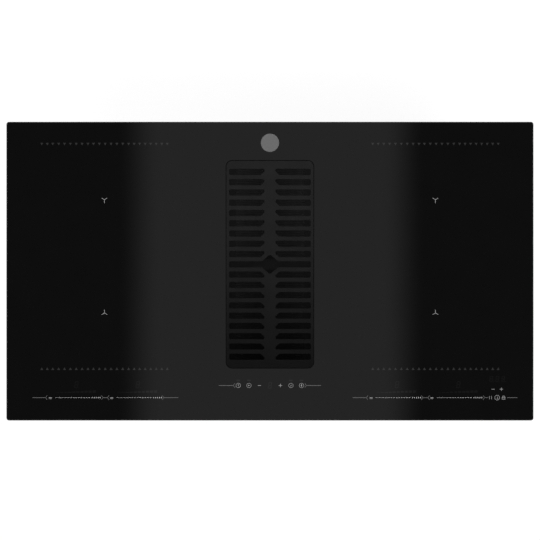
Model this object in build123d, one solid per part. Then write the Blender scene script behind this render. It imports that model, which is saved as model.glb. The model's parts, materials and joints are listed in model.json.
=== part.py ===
from build123d import *
import math
import os

# Downdraft induction cooktop. All sizes are in millimetres. The origin is the
# centre of the glass outline at the height of the worktop's surface. X runs to
# the cook's right, Y to the back of the worktop and Z up.

# ---- driving dimensions -----------------------------------------------------

# Glass plate, its seal and the cut-out of the worktop
glass_length = 900.0
glass_depth = 510.0
glass_thickness = 4.0
glass_corner = 4.5
ground_edge = 1.0
seal_thickness = 2.0
seal_width = 7.0
seal_inset = 2.0

# Air inlet in the middle of the glass, and the cast grille that lies in it
inlet_y = 11.7
grille_width = 149.2
grille_length = 354.0
grille_corner = 10.1
grille_gap = 0.9
grille_plate = 5.0
grille_rim_width = 4.0
grille_rim_depth = 4.0
slot_rows = 19
slot_pitch = 17.53
slot_height = 10.5
slot_outer_end = 69.7
slot_inner_end = 9.4
slot_corner = 2.6
slot_bevel_length = 6.6
slot_bevel_height = 6.2
bar_edge_radius = 0.8
diamond_half_width = 19.7
diamond_half_length = 17.1
diamond_corner = 4.2
buffer_thickness = 1.0

# Steel pan under the glass
pan_length = 860.0
pan_depth = 480.0
pan_sheet = 1.2
pan_floor_under = -60.0
pan_rim = 0.5
pan_flange = 12.0
pan_corner = 6.0
vent_slot_width = 4.5
vent_slot_pitch = 9.0
louvre_height = 26.0
louvre_z = -30.0

# Inlet frame and air well
frame_border = 17.0
frame_under = -8.0
ledge_height = -4.0
well_wall = 3.0
well_ledge_height = -14.0
well_step = 5.0
well_bottom = -75.0

# Grease filter and drip tray
filter_rim = 3.0
filter_clearance = 1.0
filter_bottom = -158.0
filter_bottom_half = 14.0
filter_sheet = 1.5
mesh_thickness = 3.0
tray_height = 42.0
tray_wall = 2.0
tray_clearance = 2.5

# Extraction box under the pan
box_left = -100.0
box_right = 330.0
box_front = -190.0
box_back = 205.0
box_under = -210.0
box_wall = 3.0
box_corner = 10.0
box_post_radius = 5.0
box_rib_pitch = 43.0
box_rib_depth = 2.5

# Blower
blower_x = 186.0
blower_y = -62.0
scroll_start_radius = 105.0
scroll_end_radius = 124.0
scroll_start_angle = 65.0
scroll_wall = 2.5
scroll_floor = -202.5
scroll_roof = -112.5
blower_inlet_radius = 80.0
impeller_radius = 100.0
impeller_eye_radius = 82.5
impeller_blades = 40
blade_thickness = 1.2
impeller_bottom = -196.0
impeller_top = -124.0
hub_radius = 50.0
hub_wall = 3.0
hub_top = -147.5
motor_cup_radius = 46.0
shaft_radius = 3.95
bearing_bore = 4.0
bearing_radius = 9.0
stator_radius = 39.5
stator_teeth = 12

# Duct spigot and its non-return flap
duct_width = 220.0
duct_end = 243.0
spigot_start = 163.0
spigot_wall = 2.0
flap_pin_radius = 1.5
flap_bore = 1.55
flap_barrel = 3.0
flap_pin_y = 168.0
flap_sheet = 1.5

# Induction coils: centres of the four windings
coil_x = 282.6
coil_rear_y = 122.1
coil_front_y = -71.4
coil_length = 204.0
coil_depth = 182.0
coil_corner = 84.0
coil_eye_length = 60.0
coil_eye_depth = 50.0
coil_plate_top = -11.0
coil_plate_sheet = 1.5
coil_plate_x0 = 172.0
coil_plate_x1 = 412.0
coil_plate_y0 = -168.0
coil_plate_y1 = 222.0
ferrite_bars = 8
ferrite_height = 5.0
former_sheet = 1.5
mica_sheet = 0.8

# Circuit boards, each as its left, right, front and back edges
board_sheet = 1.6
power_board_under = -48.0
power_board = (188.0, 396.0, -165.0, 135.0)
blower_board = (100.0, 164.0, 55.0, 175.0)
touch_board_under = -6.0
touch_right = (138.0, 412.0, -232.0, -174.0)
touch_left = (-412.0, -150.0, -232.0, -186.0)
touch_middle = (-92.0, 92.0, -212.0, -186.0)

# Touch keys, sliders and digits under the print of the glass
key_row_y = -216.0
timer_row_y = -201.9
middle_row_y = -195.0
zone_digit_y = -193.8
key_row = (376.6, 387.8, 399.3)
timer_row = (381.0, 395.3)
middle_row = (-53.7, -35.9, -18.4, 17.9, 35.8, 53.9)
zone_digits = (-330.5, -225.6, 217.0, 321.8)
slider_spans = ((-367.0, -289.3), (-262.3, -184.8), (179.9, 257.6), (284.7, 362.0))

# Mains connection at the back left
terminal_x0 = -285.0
terminal_x1 = -215.0
terminal_y0 = 178.0
terminal_y1 = 206.0
terminal_height = 18.0
gland_x = -150.0
gland_y = 205.0
gland_shank = 10.0
gland_bore = 6.5
gland_bottom = -78.0

# Cooling fans of the electronics
fan_x = 376.0
fan_y = 190.0
fan_size = 80.0
fan_height = 25.0
fan_hub = 16.0
fan_blades = 7

# Worktop clamps
clamp_y = 150.0
clamp_width = 20.0
clamp_sheet = 1.5
clamp_foot_top = -38.0
clamp_foot_reach = 16.0
clamp_screw_z = -54.5
clamp_travel = 10.0
clamp_screw_radius = 2.0

# ---- heights and widths that follow -----------------------------------------

glass_under = seal_thickness
glass_face = glass_under + glass_thickness
opening_width = grille_width + 2 * grille_gap
opening_length = grille_length + 2 * grille_gap
opening_corner = grille_corner + grille_gap
throat_width = grille_width - 2 * grille_rim_width
throat_length = grille_length - 2 * grille_rim_width
throat_corner = 7.0
well_width = throat_width - 2 * well_step
well_length = throat_length - 2 * well_step
well_corner = 6.0
frame_width = opening_width + 2 * frame_border
frame_length = opening_length + 2 * frame_border
frame_corner = 20.0
pan_floor = pan_floor_under + pan_sheet
base_top = box_under + box_wall
scroll_split = (scroll_floor + scroll_roof) / 2
component_floor = power_board_under + board_sheet
touch_top = touch_board_under + board_sheet
key_spots = (
    [(x, key_row_y) for x in key_row]
    + [(x, timer_row_y) for x in timer_row]
    + [(x, middle_row_y) for x in middle_row]
)
zone_display_spots = [(x, zone_digit_y) for x in zone_digits]
post_spots = [
    (box_left + 9.0, box_front + 8.0),
    (110.0, box_front + 8.0),
    (box_right - 10.0, box_front + 8.0),
    (box_left + 9.0, box_back - 8.0),
    (70.0, box_back - 8.0),
    (box_right - 10.0, box_back - 8.0),
]

# ---- shared shapes ----------------------------------------------------------


def block(x0, x1, y0, y1, z0, z1):
    # A plain box between two corners
    middle = Pos((x0 + x1) / 2, (y0 + y1) / 2, (z0 + z1) / 2)
    return middle * Box(x1 - x0, y1 - y0, z1 - z0)


def slab(length, depth, corner, z0, z1, center=(0.0, 0.0)):
    # A plate with rounded corners between two heights
    outline = RectangleRounded(length, depth, corner)
    return Pos(center[0], center[1], z0) * extrude(outline, z1 - z0)


def rod(radius, z0, z1, center=(0.0, 0.0)):
    # An upright cylinder
    middle = Pos(center[0], center[1], (z0 + z1) / 2)
    return middle * Cylinder(radius, z1 - z0)


def pipe(outer, inner, z0, z1, center=(0.0, 0.0)):
    return rod(outer, z0, z1, center) - rod(inner, z0 - 1, z1 + 1, center)


def rod_along_x(radius, x0, x1, y, z):
    return Pos((x0 + x1) / 2, y, z) * Rot(0, 90, 0) * Cylinder(radius, x1 - x0)


def rod_along_y(radius, y0, y1, x, z):
    return Pos(x, (y0 + y1) / 2, z) * Rot(90, 0, 0) * Cylinder(radius, y1 - y0)


def polar(radius, degrees, center=(0.0, 0.0)):
    angle = math.radians(degrees)
    return (center[0] + radius * math.cos(angle), center[1] + radius * math.sin(angle))


def prism(points, z0, z1):
    # An upright prism over a closed polygon
    outline = make_face(Polyline(*points, close=True))
    return Pos(0, 0, z0) * extrude(outline, z1 - z0)


def prism_along_y(points, y0, y1):
    # A prism whose polygon is given in X and Z
    outline = make_face(Polyline(*[(x, y0, z) for x, z in points], close=True))
    return extrude(outline, y1 - y0, dir=(0, 1, 0))


def screw(x, y, seat, length, radius=1.5, head=2.8, head_height=1.8):
    # A screw driven downwards, with its head on the seat
    return rod(radius, seat - length, seat, (x, y)) + rod(head, seat, seat + head_height, (x, y))


def to_left(shape):
    # The same piece on the left side of the cooktop
    return mirror(shape, Plane.YZ)


def both_sides(shapes):
    return list(shapes) + [to_left(shape) for shape in shapes]


# ---- glass, seal and pan ----------------------------------------------------


def make_glass_top():
    plate = slab(glass_length, glass_depth, glass_corner, glass_under, glass_face)
    plate = chamfer(plate.edges().group_by(Axis.Z)[-1], ground_edge)
    center = (0.0, inlet_y)
    return plate - slab(opening_width, opening_length, opening_corner, 0.0, 10.0, center)


def make_worktop_seal():
    length = glass_length - 2 * seal_inset
    depth = glass_depth - 2 * seal_inset
    outer = slab(length, depth, 3.0, 0.0, seal_thickness)
    return outer - slab(length - 2 * seal_width, depth - 2 * seal_width, 2.0, -1.0, 3.0)


def make_glass_bond_bead():
    outer = slab(pan_length - 2, pan_depth - 2, pan_corner - 1, pan_rim, glass_under)
    return outer - slab(pan_length - 18, pan_depth - 18, 3.0, 0.0, glass_under + 1)


def vent_row(x0, count, y0, y1):
    # Slots through the pan's floor, side by side along X
    slots = []
    for index in range(count):
        x = x0 + index * vent_slot_pitch
        slots.append(slab(vent_slot_width, y1 - y0, vent_slot_width / 2 - 0.05,
                          pan_floor_under - 1, pan_floor + 1, (x, (y0 + y1) / 2)))
    return slots


def wall_slots(x0, count):
    # Upright slots through the pan's rear wall
    y = pan_depth / 2
    slots = []
    for index in range(count):
        x = x0 + index * vent_slot_pitch
        slots.append(block(x - vent_slot_width / 2, x + vent_slot_width / 2, y - 3, y + 1,
                           louvre_z - louvre_height / 2, louvre_z + louvre_height / 2))
    return slots


def make_base_pan():
    outer = slab(pan_length, pan_depth, pan_corner, pan_floor_under, pan_rim)
    hollow = slab(pan_length - 2 * pan_sheet, pan_depth - 2 * pan_sheet,
                  pan_corner - pan_sheet, pan_floor, pan_rim - pan_sheet)
    mouth = slab(pan_length - 2 * pan_flange, pan_depth - 2 * pan_flange, 3.0,
                 pan_floor + 1, pan_rim + 1)
    cuts = [hollow, mouth]
    cuts.append(slab(well_width + 2 * well_wall + 2, well_length + 2 * well_wall + 2, well_corner,
                     pan_floor_under - 1, pan_floor + 1, (0.0, inlet_y)))
    cuts += both_sides(vent_row(fan_x - 4 * vent_slot_pitch + vent_slot_pitch / 2, 8,
                                fan_y - 34, fan_y + 34))
    cuts += vent_row(-404.0, 30, box_front - 40, box_front - 12)
    cuts += vent_row(143.0, 30, box_front - 40, box_front - 12)
    cuts += wall_slots(-404.0, 32)
    cuts += wall_slots(120.0, 32)
    cuts.append(rod(gland_shank + 0.2, pan_floor_under - 1, pan_floor + 1, (gland_x, gland_y)))
    for x, y in post_spots:
        cuts.append(rod(1.6, pan_floor_under - 1, pan_floor + 1, (x, y)))
    for side in (-1, 1):
        for y in (-clamp_y, clamp_y):
            x = side * pan_length / 2
            cuts.append(rod_along_x(clamp_screw_radius + 0.1, x - 3, x + 3, y, clamp_screw_z))
    return outer - cuts


# ---- air inlet --------------------------------------------------------------


def slot_outline(side, row):
    # One slot of the grille. Its inner end has one bevelled corner, which faces
    # the middle row of the grille.
    facing = -1 if row > 0 else 1
    near_edge = facing * slot_height / 2
    outline = make_face(Polyline(
        (side * slot_outer_end, near_edge),
        (side * slot_outer_end, -near_edge),
        (side * slot_inner_end, -near_edge),
        (side * slot_inner_end, near_edge - facing * slot_bevel_height),
        (side * (slot_inner_end + slot_bevel_length), near_edge),
        close=True))
    return Pos(0, row * slot_pitch) * fillet(outline.vertices(), slot_corner)


def middle_slot_outline():
    # The middle row is one slot from side to side, with a diamond at its centre
    bar = RectangleRounded(2 * slot_outer_end, slot_height, slot_corner)
    diamond = make_face(Polyline(
        (diamond_half_width, 0),
        (0, diamond_half_length),
        (-diamond_half_width, 0),
        (0, -diamond_half_length),
        close=True))
    return bar + fillet(diamond.vertices(), diamond_corner)


def make_air_grille():
    top = glass_face
    under = top - grille_plate
    plate = slab(grille_width, grille_length, grille_corner, under, top)
    rim_bottom = under - grille_rim_depth
    rim = slab(grille_width, grille_length, grille_corner, rim_bottom, under)
    rim = rim - slab(throat_width, throat_length, throat_corner, rim_bottom - 1, under + 1)
    cutter_height = grille_plate + 2
    middle_cutter = extrude(middle_slot_outline(), cutter_height, dir=(0, 0, 1))
    cutters = [Pos(0, 0, under - 1) * middle_cutter]
    last = (slot_rows - 1) // 2
    for row in range(-last, last + 1):
        if row == 0:
            continue
        for side in (-1, 1):
            cutter = extrude(slot_outline(side, row), cutter_height, dir=(0, 0, 1))
            cutters.append(Pos(0, 0, under - 1) * cutter)
    plate = plate - cutters
    plate = fillet(plate.edges().group_by(Axis.Z)[-1], bar_edge_radius)
    return Pos(0, inlet_y, 0) * (plate + rim)


def make_grille_buffers():
    top = glass_face - grille_plate - grille_rim_depth
    x = grille_width / 2 - grille_rim_width / 2
    pads = []
    for y in (-120.0, 120.0):
        pad = block(x - 1.5, x + 1.5, inlet_y + y - 8, inlet_y + y + 8, top - buffer_thickness, top)
        pads += both_sides([pad])
    return pads


def make_inlet_frame():
    center = (0.0, inlet_y)
    outer = slab(frame_width, frame_length, frame_corner, frame_under, glass_under, center)
    pocket = slab(opening_width, opening_length, opening_corner, ledge_height, 10.0, center)
    throat = slab(throat_width, throat_length, throat_corner, frame_under - 1, 0.0, center)
    pilots = [rod(1.2, frame_under - 1, frame_under + 5, spot) for spot in frame_screw_spots()]
    return outer - [pocket, throat] - pilots


def frame_screw_spots():
    x = opening_width / 2 + frame_border / 2
    y = opening_length / 2 + frame_border / 2
    spots = []
    for side in (-1, 1):
        for step in (-130.0, 0.0, 130.0):
            spots.append((side * x, inlet_y + step))
        spots.append((0.0, inlet_y + side * y))
    return spots


def make_air_well():
    center = (0.0, inlet_y)
    flange = slab(frame_width, frame_length, frame_corner, frame_under - 2, frame_under, center)
    collar = slab(throat_width + 2 * well_wall, throat_length + 2 * well_wall, throat_corner + 2,
                  well_ledge_height - well_wall, frame_under - 1, center)
    shaft = slab(well_width + 2 * well_wall, well_length + 2 * well_wall, well_corner + 2,
                 well_bottom, well_ledge_height, center)
    throat = slab(throat_width, throat_length, throat_corner, well_ledge_height, 0.0, center)
    bore = slab(well_width, well_length, well_corner, well_bottom - 1, 0.0, center)
    holes = [rod(1.6, frame_under - 3, frame_under + 1, spot) for spot in frame_screw_spots()]
    return flange + collar + shaft - [throat, bore] - holes


def make_frame_screws():
    screws = []
    for x, y in frame_screw_spots():
        seat = frame_under - 2
        shank = rod(1.2, seat, seat + 6.5, (x, y))
        screws.append(shank + rod(2.6, seat - 1.6, seat, (x, y)))
    return screws


# ---- grease filter and drip tray --------------------------------------------


def filter_half(z):
    # Half the outer width of the V-shaped basket at a height
    top_half = well_width / 2 - filter_clearance - 2
    share = (z - filter_bottom) / (well_ledge_height - filter_bottom)
    return filter_bottom_half + share * (top_half - filter_bottom_half)


def make_filter_frame():
    center = (0.0, inlet_y)
    top = well_ledge_height + filter_rim
    rim = slab(throat_width - 2 * filter_clearance, throat_length - 2 * filter_clearance,
               throat_corner - 1, well_ledge_height, top, center)
    rim_inner = 2 * filter_half(well_ledge_height) - 2 * mesh_thickness - 2
    end = well_length / 2 - filter_clearance
    rim = rim - slab(rim_inner, 2 * end - 6, 4.0, well_ledge_height - 1, top + 1, center)
    top_half = filter_half(well_ledge_height)
    plate = [(-top_half, well_ledge_height), (top_half, well_ledge_height),
             (filter_bottom_half, filter_bottom), (-filter_bottom_half, filter_bottom)]
    front = inlet_y - end
    back = inlet_y + end
    front_plate = prism_along_y(plate, front, front + filter_sheet)
    back_plate = prism_along_y(plate, back - filter_sheet, back)
    channel = block(-filter_bottom_half, filter_bottom_half, front, back,
                    filter_bottom - 2, filter_bottom)
    return rim + front_plate + back_plate + channel


def make_filter_meshes():
    end = well_length / 2 - filter_clearance - filter_sheet
    top_half = filter_half(well_ledge_height)
    panel = [(top_half, well_ledge_height), (top_half - mesh_thickness, well_ledge_height),
             (filter_bottom_half - mesh_thickness, filter_bottom),
             (filter_bottom_half, filter_bottom)]
    return both_sides([prism_along_y(panel, inlet_y - end, inlet_y + end)])


def make_filter_handle():
    # A grip across the mouth of the basket, bent down at both ends
    top = well_ledge_height + filter_rim
    half = throat_width / 2 - 4.0
    inner = half - 11.0
    grip = block(-inner, inner, inlet_y - 9, inlet_y + 9, top - 7, top - 5)
    arm = block(inner - 2, inner, inlet_y - 9, inlet_y + 9, top - 7, top + 2)
    foot = block(inner - 2, half, inlet_y - 9, inlet_y + 9, top, top + 2)
    return grip + arm + foot + to_left(arm) + to_left(foot)


def make_drip_tray():
    center = (0.0, inlet_y)
    width = well_width - 2 * tray_clearance
    length = well_length - 2 * tray_clearance
    bottom = base_top
    outer = slab(width, length, 8.0, bottom, bottom + tray_height, center)
    outer = fillet(outer.edges().group_by(Axis.Z)[0], 3.0)
    return outer - slab(width - 2 * tray_wall, length - 2 * tray_wall, 6.0,
                        bottom + tray_wall, bottom + tray_height + 1, center)


# ---- extraction box ---------------------------------------------------------


def box_slab(inset, z0, z1):
    # The plan of the extraction box, drawn in by an inset
    center = ((box_left + box_right) / 2, (box_front + box_back) / 2)
    return slab(box_right - box_left - 2 * inset, box_back - box_front - 2 * inset,
                box_corner - inset, z0, z1, center)


def make_plenum_shell():
    outer = box_slab(0.0, base_top, pan_floor_under)
    # A shallow band runs round the wall between the top and bottom borders, and
    # upright ribs stiffen it
    band0, band1 = base_top + 14, pan_floor_under - 14
    outer = outer - (box_slab(-20.0, band0, band1) - box_slab(box_rib_depth, band0, band1))
    for index in range(9):
        x = box_left + box_rib_pitch * (index + 1)
        outer = outer + block(x - 2, x + 2, box_front, box_front + 4, band0, band1)
        outer = outer + block(x - 2, x + 2, box_back - 4, box_back, band0, band1)
    for index in range(8):
        y = box_front + box_rib_pitch * (index + 1)
        outer = outer + block(box_left, box_left + 4, y - 2, y + 2, band0, band1)
        outer = outer + block(box_right - 4, box_right, y - 2, y + 2, band0, band1)
    wall = box_wall + box_rib_depth
    shell = outer - box_slab(wall, base_top - 1, pan_floor_under - box_wall)
    for x, y in post_spots:
        shell = shell + rod(box_post_radius, base_top, pan_floor_under - 1, (x, y))
    cuts = []
    for x, y in post_spots:
        cuts.append(rod(1.3, base_top - 1, base_top + 14, (x, y)))
        cuts.append(rod(1.3, pan_floor_under - 14, pan_floor_under + 1, (x, y)))
    cuts.append(slab(well_width + 2 * well_wall + 0.6, well_length + 2 * well_wall + 0.6,
                     well_corner, pan_floor_under - box_wall - 1, pan_floor_under + 1,
                     (0.0, inlet_y)))
    duct_left = spigot_left()
    duct = [duct_left, duct_left + duct_width, scroll_floor, scroll_roof]
    pad = block(duct[0] - 9, duct[1] + 9, box_back - wall, box_back, box_under + 5, duct[3] + 6)
    shell = shell + pad
    cuts.append(block(duct[0], duct[1], box_back - wall - 1, box_back + 1, duct[2], duct[3]))
    for x, z in spigot_screw_spots():
        cuts.append(rod_along_y(1.3, box_back - wall - 1, box_back + 1, x, z))
    return shell - cuts


def make_plenum_base():
    plate = box_slab(0.0, box_under, base_top)
    center = (0.0, inlet_y)
    width = well_width - 2 * tray_clearance + 2
    length = well_length - 2 * tray_clearance + 2
    curb = slab(width + 4, length + 4, 10.0, base_top - 1, base_top + 10, center)
    curb = curb - slab(width, length, 8.5, base_top, base_top + 11, center)
    cuts = []
    for x, y in post_spots:
        cuts.append(rod(1.6, box_under - 1, base_top + 1, (x, y)))
        cuts.append(rod(3.2, box_under - 1, box_under + 2, (x, y)))
    return plate + curb - cuts


def make_case_screws():
    screws = []
    for x, y in post_spots:
        screws.append(screw(x, y, pan_floor, 13.0, radius=1.3))
        under = rod(2.9, box_under + 0.2, box_under + 2, (x, y))
        screws.append(under + rod(1.3, box_under + 2, base_top + 12, (x, y)))
    return screws


# ---- blower -----------------------------------------------------------------


def spigot_left():
    return blower_x + scroll_end_radius - duct_width


def scroll_radius(degrees):
    share = (degrees - scroll_start_angle) / (360.0 - scroll_start_angle)
    return scroll_start_radius + share * (scroll_end_radius - scroll_start_radius)


def scroll_outline(grow, end):
    # The spiral grows round the wheel from its tongue and opens into the duct
    center = (blower_x, blower_y)
    steps = 14
    span = 360.0 - scroll_start_angle
    angles = [scroll_start_angle + span * index / steps for index in range(steps + 1)]
    spiral = [polar(scroll_radius(angle) + grow, angle, center) for angle in angles]
    disc = make_face([Spline(*spiral), Polyline(spiral[-1], center, spiral[0])])
    tongue = polar(scroll_start_radius, scroll_start_angle, center)
    left = spigot_left()
    flare_end = spigot_start - 3.0
    slope = math.atan2(flare_end - tongue[1], tongue[0] - left)
    shift = (-grow * math.sin(slope), -grow * math.cos(slope))
    right = blower_x + scroll_end_radius + grow
    flare_bottom = flare_end + shift[1] + (left + shift[0] - left + grow) * math.tan(slope)
    throat = make_face(Polyline(
        center, (right, blower_y), (right, end), (left - grow, end),
        (left - grow, flare_bottom), (tongue[0] + shift[0], tongue[1] + shift[1]), close=True))
    return disc + throat


def scroll_ear_spots():
    spots = []
    for angle in (110.0, 240.0, 305.0, 340.0):
        radius = scroll_radius(angle) + scroll_wall + 3.5
        spots.append(polar(radius, angle, (blower_x, blower_y)))
    return spots


def make_scroll_half(upper):
    end = spigot_start + 12.0
    outer = scroll_outline(scroll_wall, end)
    inner = scroll_outline(0.0, end + 1)
    if upper:
        z0, z1 = scroll_split, scroll_roof + scroll_wall
        hollow0, hollow1 = scroll_split - 1, scroll_roof
        ear0, ear1 = scroll_split, scroll_split + 8
    else:
        z0, z1 = scroll_floor - scroll_wall, scroll_split
        hollow0, hollow1 = scroll_floor, scroll_split + 1
        ear0, ear1 = scroll_split - 8, scroll_split
    half = Pos(0, 0, z0) * extrude(outer, z1 - z0)
    for spot in scroll_ear_spots():
        half = half + rod(5.0, ear0, ear1, spot)
    half = half - Pos(0, 0, hollow0) * extrude(inner, hollow1 - hollow0)
    center = (blower_x, blower_y)
    if upper:
        lip = pipe(blower_inlet_radius + 3, blower_inlet_radius, scroll_roof - 8, z1 + 3, center)
        half = half - rod(blower_inlet_radius, scroll_roof - 1, z1 + 1, center) + lip
    return half - [rod(1.55, ear0 - 1, ear1 + 1, spot) for spot in scroll_ear_spots()]


def make_scroll_screws():
    screws = []
    for x, y in scroll_ear_spots():
        screws.append(screw(x, y, scroll_split + 8, 15.0))
    return screws


def make_blower_feet():
    pads = []
    for dx in (-75.0, 75.0):
        for dy in (-55.0, 55.0):
            spot = (blower_x + dx, blower_y + dy)
            pads.append(rod(8.0, base_top, scroll_floor - scroll_wall, spot))
    return pads


def blade_outline():
    # A forward-curved blade between the eye and the rim of the wheel
    thick = math.degrees(blade_thickness / impeller_eye_radius)
    lean = 7.5
    middle_radius = (impeller_eye_radius + impeller_radius) / 2
    inner = impeller_eye_radius
    outer = impeller_radius - 0.5
    front = ThreePointArc(polar(inner, 0), polar(middle_radius, 2.2), polar(outer, lean))
    rear = ThreePointArc(polar(outer, lean + thick), polar(middle_radius, 2.2 + thick),
                         polar(inner, thick))
    edges = [front, Line(polar(outer, lean), polar(outer, lean + thick)), rear,
             Line(polar(inner, thick), polar(inner, 0))]
    return make_face(edges)


def make_fan_impeller():
    plate_top = impeller_bottom + 2
    wheel = pipe(impeller_radius, hub_radius - hub_wall, impeller_bottom, plate_top)
    wheel = wheel + pipe(impeller_radius, impeller_radius - 8, impeller_top - 3, impeller_top)
    wheel = wheel + pipe(hub_radius, hub_radius - hub_wall, impeller_bottom, hub_top)
    roof = pipe(hub_radius - 1, shaft_radius + 0.1, hub_top - 2.5, hub_top)
    wheel = wheel + roof
    blade = Pos(0, 0, impeller_bottom + 1) * extrude(blade_outline(),
                                                     impeller_top - impeller_bottom - 2)
    pitch = 360.0 / impeller_blades
    wheel = wheel + [Rot(0, 0, index * pitch) * blade for index in range(impeller_blades)]
    return Pos(blower_x, blower_y, 0) * wheel


def make_motor_rotor():
    roof = hub_top - 2.5
    cup = rod(motor_cup_radius, impeller_bottom + 3, roof)
    cup = cup - rod(motor_cup_radius - 4, impeller_bottom, roof - 2.5)
    cup = cup + rod(8.0, roof - 8, roof - 1) - rod(shaft_radius, -250.0, 0.0)
    return Pos(blower_x, blower_y, 0) * cup


def make_rotor_magnets():
    outer = motor_cup_radius - 4
    return pipe(outer, outer - 2, impeller_bottom + 6, hub_top - 12, (blower_x, blower_y))


def make_motor_shaft():
    return rod(shaft_radius, scroll_floor + 4, hub_top + 1.5, (blower_x, blower_y))


def make_motor_plate():
    center = (blower_x, blower_y)
    disc_top = scroll_floor + 3
    plate = rod(55.0, scroll_floor, disc_top, center)
    tube = rod(bearing_radius + 3.9, disc_top - 1, hub_top - 12, center)
    shoulder = rod(16.0, stator_bottom() - 2, stator_bottom(), center)
    return plate + tube + shoulder - rod(bearing_radius, disc_top, 0.0, center)


def stator_bottom():
    return impeller_bottom + 8


def stator_top():
    return hub_top - 16.5


def make_motor_bearings():
    center = (blower_x, blower_y)
    lower = pipe(bearing_radius, bearing_bore, scroll_floor + 6, scroll_floor + 13, center)
    upper = pipe(bearing_radius, bearing_bore, hub_top - 24, hub_top - 17, center)
    return [lower, upper]


def stator_teeth_solid(width, z0, z1):
    teeth = []
    for index in range(stator_teeth):
        tooth = block(14.0, stator_radius - 2, -width / 2, width / 2, z0, z1)
        teeth.append(Rot(0, 0, index * 360.0 / stator_teeth) * tooth)
    return teeth


def make_stator_core():
    z0, z1 = stator_bottom(), stator_top()
    core = pipe(20.0, bearing_radius + 4, z0, z1) + stator_teeth_solid(5.0, z0, z1)
    rim = pipe(stator_radius, stator_radius - 3, z0, z1)
    slits = []
    for index in range(stator_teeth):
        slit = block(stator_radius - 4, stator_radius + 1, -1.2, 1.2, z0 - 1, z1 + 1)
        slits.append(Rot(0, 0, (index + 0.5) * 360.0 / stator_teeth) * slit)
    return Pos(blower_x, blower_y, 0) * (core + (rim - slits))


def make_stator_windings():
    z0, z1 = stator_bottom() - 3, stator_top() + 3
    inner, outer, half = 21.0, stator_radius - 4, 12.0
    windings = []
    for index in range(stator_teeth):
        wedge = prism([polar(inner, -half), polar(outer, -half), polar(outer, half),
                       polar(inner, half)], z0, z1)
        tooth = block(14.0, stator_radius, -2.5, 2.5, stator_bottom(), stator_top())
        turn = Rot(0, 0, index * 360.0 / stator_teeth) * (wedge - tooth)
        windings.append(Pos(blower_x, blower_y, 0) * turn)
    return windings


# ---- duct spigot and non-return flap ----------------------------------------


def spigot_screw_spots():
    left = spigot_left() - 5.5
    right = spigot_left() + duct_width + 5.5
    return [(x, z) for x in (left, right) for z in (scroll_floor + 10, scroll_roof - 10)]


def make_duct_spigot():
    left = spigot_left()
    right = left + duct_width
    tube = block(left, right, spigot_start, duct_end, scroll_floor, scroll_roof)
    flange = block(left - 9, right + 9, box_back, box_back + 3, box_under + 2, scroll_roof + 6)
    wall = spigot_wall
    bore = block(left + wall, right - wall, spigot_start - 1, duct_end + 1,
                 scroll_floor + wall, scroll_roof - wall)
    spigot = tube + flange - bore
    lip_y = flap_pin_y - flap_sheet / 2 - 2.5
    lip = block(left + 1, right - 1, lip_y, lip_y + 2, scroll_floor + 1, scroll_roof - 1)
    lip = lip - block(left + 6, right - 6, lip_y - 1, lip_y + 3,
                      scroll_floor + 6, scroll_roof - 10)
    lip = lip - block(left + wall, right - wall, lip_y - 1, lip_y + 3,
                      flap_pin_z() - flap_barrel - 1, scroll_roof - wall)
    spigot = spigot + lip
    cuts = [rod_along_x(flap_bore, left - 1, left + wall + 1, flap_pin_y, flap_pin_z()),
            rod_along_x(flap_bore, right - wall - 1, right + 1, flap_pin_y, flap_pin_z())]
    for x, z in spigot_screw_spots():
        cuts.append(rod_along_y(1.6, box_back - 1, box_back + 4, x, z))
    return spigot - cuts


def flap_pin_z():
    return scroll_roof - spigot_wall - flap_barrel - 0.5


def make_flap_pin():
    left = spigot_left()
    return rod_along_x(flap_pin_radius, left, left + duct_width, flap_pin_y, flap_pin_z())


def make_non_return_flap():
    left = spigot_left() + spigot_wall + 1
    right = spigot_left() + duct_width - spigot_wall - 1
    z = flap_pin_z()
    bottom = scroll_floor + spigot_wall + 0.8
    plate = block(left, right, flap_pin_y - flap_sheet / 2, flap_pin_y + flap_sheet / 2, bottom, z)
    barrel = rod_along_x(flap_barrel, left, right, flap_pin_y, z)
    return plate + barrel - rod_along_x(flap_bore, left - 1, right + 1, flap_pin_y, z)


def make_spigot_screws():
    screws = []
    for x, z in spigot_screw_spots():
        head = rod_along_y(2.8, box_back + 3, box_back + 4.8, x, z)
        screws.append(head + rod_along_y(1.3, box_back - 4, box_back + 3, x, z))
    return screws


# ---- induction coils --------------------------------------------------------


def coil_spots():
    return [(coil_x, coil_rear_y), (coil_x, coil_front_y)]


def make_coil_tray():
    sheet = coil_plate_sheet
    middle = ((coil_plate_x0 + coil_plate_x1) / 2, (coil_plate_y0 + coil_plate_y1) / 2)
    plate = slab(coil_plate_x1 - coil_plate_x0, coil_plate_y1 - coil_plate_y0, 8.0,
                 coil_plate_top - sheet, coil_plate_top, middle)
    holes = [rod(9.0, coil_plate_top - 3, coil_plate_top + 1, spot) for spot in coil_spots()]
    return plate - holes


def tray_post_spots():
    return [(x, y) for x in (coil_plate_x0 + 7, coil_plate_x1 - 6) for y in (-160.0, -10.0, 140.0)]


def make_tray_posts():
    return [rod(3.0, pan_floor, coil_plate_top - coil_plate_sheet, spot)
            for spot in tray_post_spots()]


def make_tray_springs():
    top = coil_plate_top - coil_plate_sheet
    return [pipe(5.0, 4.0, top - 24, top, spot) for spot in tray_post_spots()]


def make_ferrites():
    bars = []
    for x, y in coil_spots():
        for index in range(ferrite_bars):
            bar = block(32.0, 84.0, -6.0, 6.0, coil_plate_top, coil_plate_top + ferrite_height)
            bars.append(Pos(x, y, 0) * Rot(0, 0, (index + 0.5) * 360.0 / ferrite_bars) * bar)
    return bars


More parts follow.
